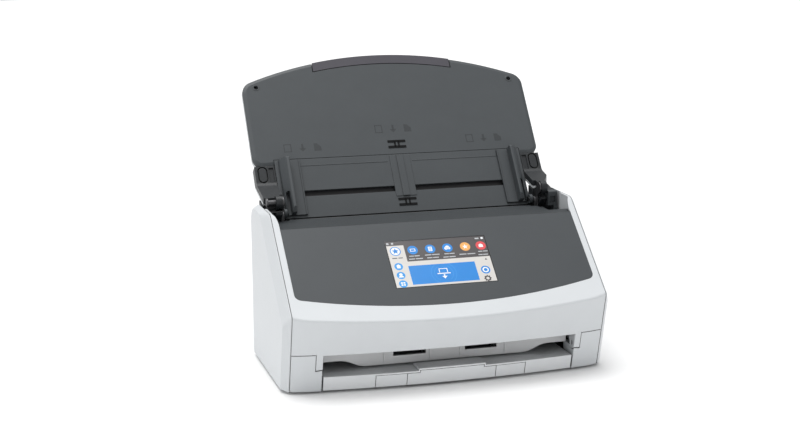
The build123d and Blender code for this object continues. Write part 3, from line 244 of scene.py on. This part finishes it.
PAPER = lit("screen_paper", (0.62, 0.60, 0.575), 0.12)
SLATE = lit("screen_slate", (0.085, 0.078, 0.080), 0.03)
BLUE = lit("screen_blue", (0.020, 0.20, 0.56), 0.25)
SKY = lit("screen_sky", (0.045, 0.27, 0.62), 0.25)
ORANGE = lit("screen_orange", (0.80, 0.38, 0.11), 0.15)
RED = lit("screen_red", (0.66, 0.075, 0.085), 0.15)
SNOW = lit("screen_snow", (0.80, 0.83, 0.86), 0.12)
INK = lit("screen_ink", (0.05, 0.06, 0.09), 0.02)
MIST = lit("screen_mist", (0.5, 0.52, 0.54), 0.1)

BY_SLOT = {
    "white_plastic": WHITE, "tray_plastic": TRAY, "panel_plastic": PANEL, "deck_plastic": DECK,
    "chute_plastic": CHUTE_GREY, "arm_plastic": ARM_GREY, "grey_plastic": PALE,
    "inner_plastic": INNER, "black_plastic": BLACK, "board": BOARD, "steel": STEEL,
    "sheet_steel": ZINC, "motor_metal": MOTOR, "roller_rubber": TYRE, "foot_rubber": FOOT,
    "screen_glass": SCREEN, "scan_glass": GLASS, "chip": BLACK,
}
# the side guides and the lever are as pale as the chute, and the pull handle is a warmer grey
BY_NODE = {
    "left_side_guide": CHUTE_GREY, "right_side_guide": CHUTE_GREY, "cover_lever": CHUTE_GREY,
    "chute_extension": HANDLE,
}
for part in frame["record"]["subparts"]:
    name = part["node"]
    finish = nodes[name].data.materials
    finish.clear()
    finish.append(BY_NODE.get(name, BY_SLOT[part["material_slot"]]))


# ---------------------------------------------------------------- flat pieces on a plane
class Sheet:
    """Thin raised shapes on a plane, gathered into one mesh with a material for each colour.

    A layer is the lowest and highest height of a shape above the plane.
    """

    def __init__(self, name, matrix, body, slot):
        self.mesh = bmesh.new()
        self.matrix = matrix
        self.name, self.body, self.slot = name, body, slot
        self.materials = []

    def prism(self, points, layer, material):
        """An upright prism over an outline."""
        if material not in self.materials:
            self.materials.append(material)
        index = self.materials.index(material)
        lower, upper = ([self.mesh.verts.new((x, y, z)) for x, y in points] for z in layer)
        faces = [self.mesh.faces.new(upper), self.mesh.faces.new(lower[::-1])]
        for k in range(len(points)):
            after = (k + 1) % len(points)
            wall = (lower[k], lower[after], upper[after], upper[k])
            faces.append(self.mesh.faces.new(wall))
        for face in faces:
            face.material_index = index

    def box(self, x0, x1, y0, y1, layer, material):
        self.prism([(x0, y0), (x1, y0), (x1, y1), (x0, y1)], layer, material)

    def block(self, x, y, half_x, half_y, layer, material):
        """A box round its middle."""
        self.box(x - half_x, x + half_x, y - half_y, y + half_y, layer, material)

    def disc(self, x, y, radius, layer, material, sides=40):
        points = [on_circle(x, y, radius, 2 * pi * k / sides) for k in range(sides)]
        self.prism(points, layer, material)

    def dome(self, x, y, radius, layer, material, sides=24, tilt=0.25):
        """The upper part of a disc, cut off a little above its middle."""
        sweep = pi - 2 * tilt
        points = [
            on_circle(x, y, radius, tilt + sweep * k / sides) for k in range(sides + 1)
        ]
        self.prism(points, layer, material)

    def ring(self, x, y, outer, inner, layer, material, sides=40, start=0.0, sweep=2 * pi):
        """A ring or an arc of one, drawn as short straight pieces."""
        for k in range(sides):
            a = start + sweep * k / sides
            b = start + sweep * (k + 1) / sides
            corners = ((inner, a), (outer, a), (outer, b), (inner, b))
            self.prism([on_circle(x, y, r, angle) for r, angle in corners], layer, material)

    def line(self, start, end, width, layer, material):
        (x0, y0), (x1, y1) = start, end
        half = width / 2 / sqrt((x1 - x0) ** 2 + (y1 - y0) ** 2)
        dx, dy = -(y1 - y0) * half, (x1 - x0) * half
        quad = [(x0 - dx, y0 - dy), (x1 - dx, y1 - dy), (x1 + dx, y1 + dy), (x0 + dx, y0 + dy)]
        self.prism(quad, layer, material)

    def done(self):
        """Place the sheet and let it ride on its body."""
        self.mesh.transform(self.matrix)
        bmesh.ops.recalc_face_normals(self.mesh, faces=self.mesh.faces)
        data = bpy.data.meshes.new(self.name)
        self.mesh.to_mesh(data)
        self.mesh.free()
        for material in self.materials:
            data.materials.append(material)
        piece = bpy.data.objects.new(self.name, data)
        SCENE.collection.objects.link(piece)
        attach(piece, self.body)


def on_circle(x, y, radius, angle):
    return x + radius * cos(angle), y + radius * sin(angle)


# ---------------------------------------------------------------- the screen's picture
HALF_SCREEN = 45.9
SCREEN_LOW, BAND_LOW, PAGE_TOP, SCREEN_HIGH = 23.2, 49.9, 50.3, 72.9  # a dark band over a page
COLUMN_RIGHT, COLUMN_TOP = -30.2, 68.4  # the pale column at the left reaches into the band
# the picture's layers, as heights above the slope
GROUND, PAGE, STATUS = (0.01, 0.02), (0.015, 0.03), (0.02, 0.03)
ON_PAGE, ON_SHAPE, INLAY = (0.03, 0.04), (0.04, 0.05), (0.05, 0.06)
THIN_ON_SHAPE, FLAP, FLAP_INLAY = (0.04, 0.045), (0.045, 0.055), (0.055, 0.065)


def star(s, x, y, outer, inner, layer, material):
    """A star with five points."""
    points = [
        on_circle(x, y, inner if k % 2 else outer, pi / 2 + pi * k / 5) for k in range(10)
    ]
    s.prism(points, layer, material)


def menu_ground(s):
    """The dark band, the pale page and the status marks along the top."""
    s.box(-HALF_SCREEN, HALF_SCREEN, BAND_LOW, SCREEN_HIGH, GROUND, SLATE)
    s.box(-HALF_SCREEN, COLUMN_RIGHT, SCREEN_LOW, COLUMN_TOP, PAGE, PAPER)
    s.box(COLUMN_RIGHT, HALF_SCREEN, SCREEN_LOW, PAGE_TOP, PAGE, PAPER)
    for x in (-44.2, -39.9):
        s.block(x, 70.8, 1.0, 0.9, STATUS, MIST)
    s.block(38.8, 70.5, 1.8, 0.7, STATUS, MIST)
    s.disc(43.6, 70.6, 1.2, STATUS, SNOW, sides=20)


def house(s, x, y):
    s.box(x - 1.6, x + 1.6, y - 1.8, y + 0.6, ON_SHAPE, SNOW)
    s.prism([(x - 2.4, y + 0.6), (x + 2.4, y + 0.6), (x, y + 2.5)], ON_SHAPE, SNOW)


def user(s, x, y):
    """A plain disc over a dome."""
    s.disc(x, y + 0.9, 1.5, ON_SHAPE, SNOW, sides=24)
    s.dome(x, y - 2.7, 2.5, ON_SHAPE, SNOW)


def tiles(s, x, y):
    for dx in (-1.1, 1.1):
        for dy in (-1.1, 1.1):
            s.block(x + dx, y + dy, 0.8, 0.8, ON_SHAPE, SNOW)


def left_column(s):
    """A star in a ring with its caption, over three small round icons."""
    x, y = -38.8, 62.3
    s.disc(x, y, 4.9, ON_PAGE, BLUE)
    s.disc(x, y, 4.1, ON_SHAPE, SNOW)
    star(s, x, y, 3.3, 1.5, INLAY, BLUE)
    for x0, x1 in ((-43.2, -38.6), (-37.6, -33.6)):
        s.box(x0, x1, 54.3, 55.2, ON_PAGE, INK)
    x = -39.4
    for y, draw in ((45.6, house), (36.0, user), (26.9, tiles)):
        s.disc(x, y, 3.9, ON_PAGE, SKY)
        draw(s, x, y)


def card(s, x, y):
    s.block(x, y, 2.4, 1.5, ON_SHAPE, SNOW)
    s.block(x, y, 1.7, 0.9, INLAY, BLUE)


def written_page(s, x, y):
    s.block(x, y, 1.8, 2.4, ON_SHAPE, SNOW)
    for dy in (-1.2, 0.0, 1.2):
        s.block(x, y + dy, 1.1, 0.25, INLAY, BLUE)


def cloud(s, x, y):
    for dx, dy, radius in ((-1.5, -0.5, 1.5), (1.4, -0.5, 1.3), (0.0, 0.4, 2.0)):
        s.disc(x + dx, y + dy, radius, ON_SHAPE, SNOW, sides=24)


def favourite(s, x, y):
    star(s, x, y - 0.1, 2.8, 1.2, ON_SHAPE, SNOW)


def letter(s, x, y):
    s.box(x - 2.0, x + 2.0, y - 1.8, y + 0.9, ON_SHAPE, SNOW)
    flap = [(x - 2.0, y + 0.9), (x, y - 0.3), (x + 2.0, y + 0.9), (x, y + 2.2)]
    s.prism(flap, FLAP, SNOW)


def icon_row(s):
    """Five round icons, each with bars for its caption: left, right and height of each line."""
    row_y = 62.4
    row = (
        (-22.9, BLUE, card, ((-4.5, 5.0, 55.9), (-5.5, 7.3, 52.7))),
        (-6.7, BLUE, written_page, ((-6.2, 7.1, 56.0), (-4.9, 5.9, 52.8))),
        (9.3, BLUE, cloud, ((-4.3, 5.1, 55.9), (-6.1, 5.2, 52.4))),
        (25.9, ORANGE, favourite, ((-7.3, 7.5, 54.2),)),
        (40.6, RED, letter, ((-4.0, 4.8, 56.0), (-4.6, 4.3, 52.4))),
    )
    for x, colour, draw, captions in row:
        s.disc(x, row_y, 4.7, ON_PAGE, colour)
        draw(s, x, row_y)
        for left, right, y in captions:
            for start, end in ((0.0, 0.44), (0.5, 1.0)):  # two words on each line
                x0, x1 = (x + left + (right - left) * share for share in (start, end))
                s.box(x0, x1, y - 0.45, y + 0.45, ON_PAGE, MIST)


def big_button(s):
    """A sheet of paper over a tray with an arrow, inside thin rings."""
    x, y = -0.4, 35.3
    s.box(-30.9, 30.3, 25.2, 45.5, ON_PAGE, BLUE)
    for radius in (8.6, 11.6):
        for start in (-58, 122):
            s.ring(
                x, y, radius, radius - 0.35, THIN_ON_SHAPE, SKY,
                start=radians(start), sweep=radians(116),
            )
    s.box(x - 4.0, x + 4.0, 36.1, 40.5, FLAP, SNOW)
    s.box(x - 3.3, x + 3.3, 36.1, 39.8, FLAP_INLAY, BLUE)
    s.box(x - 6.0, x + 6.0, 34.6, 35.6, FLAP, SNOW)
    s.box(x - 0.6, x + 0.6, 31.8, 34.0, FLAP, SNOW)
    s.prism([(x - 2.4, 32.2), (x, 29.4), (x + 2.4, 32.2)], FLAP, SNOW)


def right_column(s):
    """A small arrow, a round button and a gear wheel."""
    s.prism([(40.3, 46.5), (42.9, 46.5), (41.6, 48.3)], ON_PAGE, SLATE)
    x, y = 38.3, 35.7
    s.disc(x, y, 4.3, ON_PAGE, BLUE)
    s.disc(x, y, 2.9, ON_SHAPE, SNOW, sides=32)
    s.disc(x, y, 1.7, INLAY, BLUE, sides=24)
    x, y = 38.0, 26.4
    teeth = 8
    s.ring(x, y, 2.8, 1.5, ON_PAGE, SLATE, sides=24)
    for k in range(teeth):
        root, tip = (on_circle(x, y, radius, 2 * pi * k / teeth) for radius in (2.5, 3.4))
        s.line(root, tip, 1.1, ON_PAGE, SLATE)


def screen_picture():
    """A generic menu: a row of round icons over one large button, with a column at the left."""
    s = Sheet("screen_picture", SLOPE, "front_cover", "screen_glass")
    menu_ground(s)
    left_column(s)
    icon_row(s)
    big_button(s)
    right_column(s)
    s.done()


screen_picture()


# ---------------------------------------------------------------- marks on the chutes
def centre_mark(name, body, low, high):
    """Two short bars joined by uprights, which show the middle of the paper's way."""
    layer = (0.37, 0.40)  # on the moulded mark, which is 0.35 high
    s = Sheet(name, CHUTE, body, "black_plastic")
    s.box(-8.8, 8.8, low - 0.7, low + 1.7, layer, MARK_AND_SEAM_SHADOW)
    s.box(-8.8, 8.8, high - 1.7, high + 0.7, layer, MARK_AND_SEAM_SHADOW)
    for x in (-1.9, 1.9):
        s.box(x - 0.7, x + 0.7, low, high, layer, MARK_AND_SEAM_SHADOW)
    s.done()


def pictograms():
    """Small faint shapes beside the marks: a sheet, an arrow and a folded sheet, three times."""
    layer = (0.01, 0.03)
    s = Sheet("cover_pictograms", CHUTE, "chute_cover", "black_plastic")
    for x, y in ((-92.0, 73.0), (-1.0, 89.0), (88.0, 74.5)):
        for edge in (-17.6, -11.1):
            s.block(x + edge, y, 0.4, 4.2, layer, FAINT)
        for end in (-3.8, 3.8):
            s.box(x - 18.0, x - 10.7, y + end - 0.4, y + end + 0.4, layer, FAINT)
        s.box(x - 1.0, x + 1.0, y - 1.0, y + 4.0, layer, FAINT)
        s.prism([(x - 3.4, y - 0.6), (x, y - 4.2), (x + 3.4, y - 0.6)], layer, FAINT)
        folded = ((11, -4), (18, -4), (18, 0), (14, 4), (11, 4))
        s.prism([(x + dx, y + dy) for dx, dy in folded], layer, FAINT)
    s.done()


centre_mark("cover_centre_mark", "chute_cover", 68.5, 75.5)
centre_mark("chute_centre_mark", "folding_chute", 7.4, 14.2)
pictograms()


# ---------------------------------------------------------------- painted shadow strips in the front joints
POST_INNER, POST_OUTER = 121.5, 141.9  # the edges of a front post
SHADOW_STRIP_REAR = -58.0  # how far back the painted shadow strips reach


def seam_shadow_strip(name, side):
    """Near-black strips that paint the shade in the joints: on top of one front post, and beside and
    below the front cover's ear by it.
    """
    s = Sheet(name, LEVEL, "base", "black_plastic")
    top = [
        (POST_INNER, -73.1), (126.0, -72.5), (134.0, -71.0), (POST_OUTER, -68.4),
        (POST_OUTER, SHADOW_STRIP_REAR), (POST_INNER, SHADOW_STRIP_REAR),
    ]
    s.prism([(side * x, y) for x, y in top], (36.42, 36.50), MARK_AND_SEAM_SHADOW)
    s.box(side * 121.33, side * 121.39, -69.4, SHADOW_STRIP_REAR, (23.0, 36.2), MARK_AND_SEAM_SHADOW)
    s.box(side * 115.6, side * 121.2, -69.6, SHADOW_STRIP_REAR, (22.81, 22.87), MARK_AND_SEAM_SHADOW)
    s.done()


seam_shadow_strip("left_seam_shadows", -1)
seam_shadow_strip("right_seam_shadows", 1)

# ---------------------------------------------------------------- camera, lights and floor
YAW, PITCH, ROLL = radians(-16.27), radians(11.71), radians(-0.23)
CAMERA_PLACE = (-0.3955, -1.268 - ORIGIN_Y * MM, 0.406)
SENSOR_WIDTH, FOCAL_LENGTH = 36.0, 67.635

camera_data = bpy.data.cameras.new("camera")
camera_data.sensor_fit = "HORIZONTAL"
camera_data.sensor_width = SENSOR_WIDTH
camera_data.lens = FOCAL_LENGTH
camera = bpy.data.objects.new("camera", camera_data)
SCENE.collection.objects.link(camera)
back = Vector((sin(YAW) * cos(PITCH), -cos(YAW) * cos(PITCH), sin(PITCH)))
right = (-back).cross(Vector((0, 0, 1))).normalized()
up = right.cross(-back)
turned_right = cos(ROLL) * right + sin(ROLL) * up
turned_up = -sin(ROLL) * right + cos(ROLL) * up
view = Matrix((turned_right, turned_up, back)).transposed().to_4x4()
camera.matrix_world = Matrix.Translation(CAMERA_PLACE) @ view
SCENE.camera = camera
SCENE.view_settings.view_transform = "Standard"


def add_light(name, kind, power, place, aim):
    """A light at a place, shining along a direction."""
    light = bpy.data.lights.new(name, kind)
    light.energy = power
    lamp = bpy.data.objects.new(name, light)
    SCENE.collection.objects.link(lamp)
    turn = Vector(aim).to_track_quat("-Z", "Y").to_matrix().to_4x4()
    lamp.matrix_world = Matrix.Translation(place) @ turn
    return light


world = bpy.data.worlds.new("studio")
SCENE.world = world
world.use_nodes = True
background = world.node_tree.nodes["Background"]
background.inputs["Color"].default_value = (1, 1, 1, 1)
background.inputs["Strength"].default_value = 0.50

sun = add_light("high_sun", "SUN", 2.55, (0, 0, 0), (0.14, -0.12, -1.0))
sun.angle = radians(50)
fill = add_light("fill", "AREA", 0.6, (-1.1, -1.0, 1.1), (1.1, 1.0, -1.0))
fill.shape = "RECTANGLE"
fill.size = fill.size_y = 1.2

HALF_FLOOR = 6.0
floor_data = bpy.data.meshes.new("floor")
corners = [(x * HALF_FLOOR, y * HALF_FLOOR, 0) for x, y in ((-1, -1), (1, -1), (1, 1), (-1, 1))]
floor_data.from_pydata(corners, [], [(0, 1, 2, 3)])
floor_data.materials.append(FLOOR)
floor = bpy.data.objects.new("floor", floor_data)
SCENE.collection.objects.link(floor)
floor.location.z = -0.2 * MM
